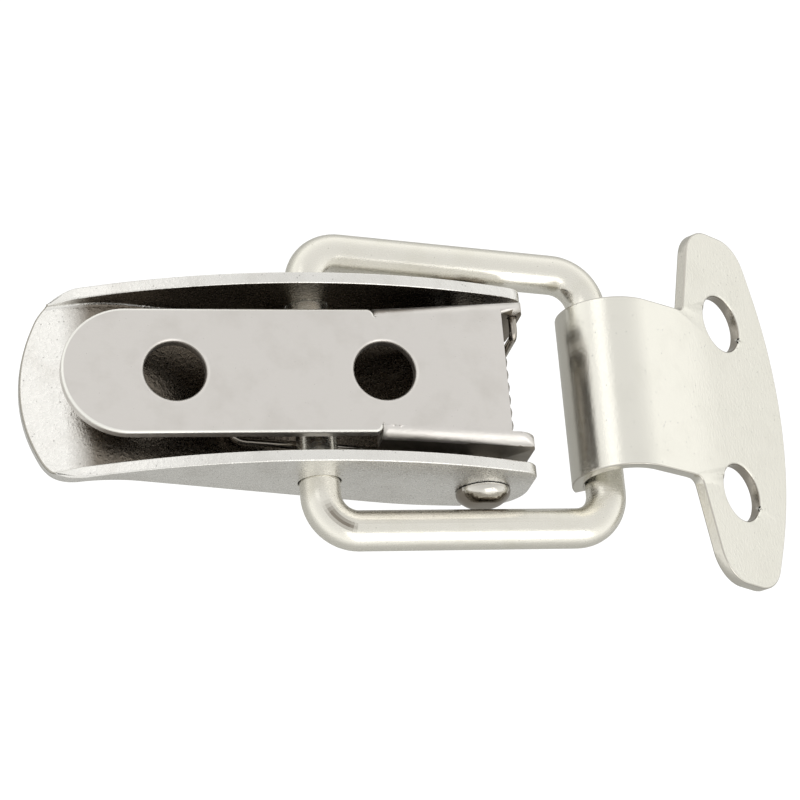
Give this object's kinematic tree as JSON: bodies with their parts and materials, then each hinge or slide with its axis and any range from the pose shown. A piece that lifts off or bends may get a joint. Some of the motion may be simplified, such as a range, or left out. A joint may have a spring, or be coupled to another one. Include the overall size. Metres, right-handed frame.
{
  "type": "over centre toggle latch",
  "caption": "Over centre toggle latch: a sheet lever hinged on a folded base plate draws a wire bail against a curled strike plate.",
  "frame": {"origin": "midpoint of the two base screw holes on the base plate's mounting face", "axes": "+Z out of the mounting face towards the panel, +X along the latch from the lever's lip to the strike, +Y across it"},
  "size_m": [0.0601, 0.0288, 0.0131],
  "materials": {
    "base_plate": "satin stainless sheet, matte stamped faces and brighter rolled hole rims",
    "pivot_rivet": "polished stainless rivet",
    "torsion_spring": "drawn stainless spring wire",
    "lever": "polished stainless sheet with fine pitting",
    "bail": "polished stainless wire",
    "strike_plate": "satin stainless sheet, soft glossy sheen on the curl"
  },
  "bodies": {
    "base": {"base_plate": "base_plate", "pivot_rivet": "pivot_rivet", "torsion_spring": "torsion_spring"},
    "lever": {"lever": "lever"},
    "bail": {"bail": "bail"},
    "strike": {"strike_plate": "strike_plate"}
  },
  "joints": [
    {"name": "lever_open", "type": "hinge", "parent": "base", "child": "lever", "pos_m": [0.0156, 0, -0.0057], "axis": [0, -1, 0], "range_deg": [0, 115], "stiffness_Nm_per_rad": 0.011, "springref_deg": -34.38, "deforming": ["torsion_spring"]},
    {"name": "bail_swing", "type": "hinge", "parent": "lever", "child": "bail", "pos_m": [0.00296, 0, -0.0037], "axis": [0, 1, 0], "range_deg": [-140, 120]},
    {"name": "strike_swing", "type": "hinge", "parent": "bail", "child": "strike", "pos_m": [0.0252, 0, -0.00635], "axis": [0, 1, 0], "range_deg": [-125, 120]}
  ]
}
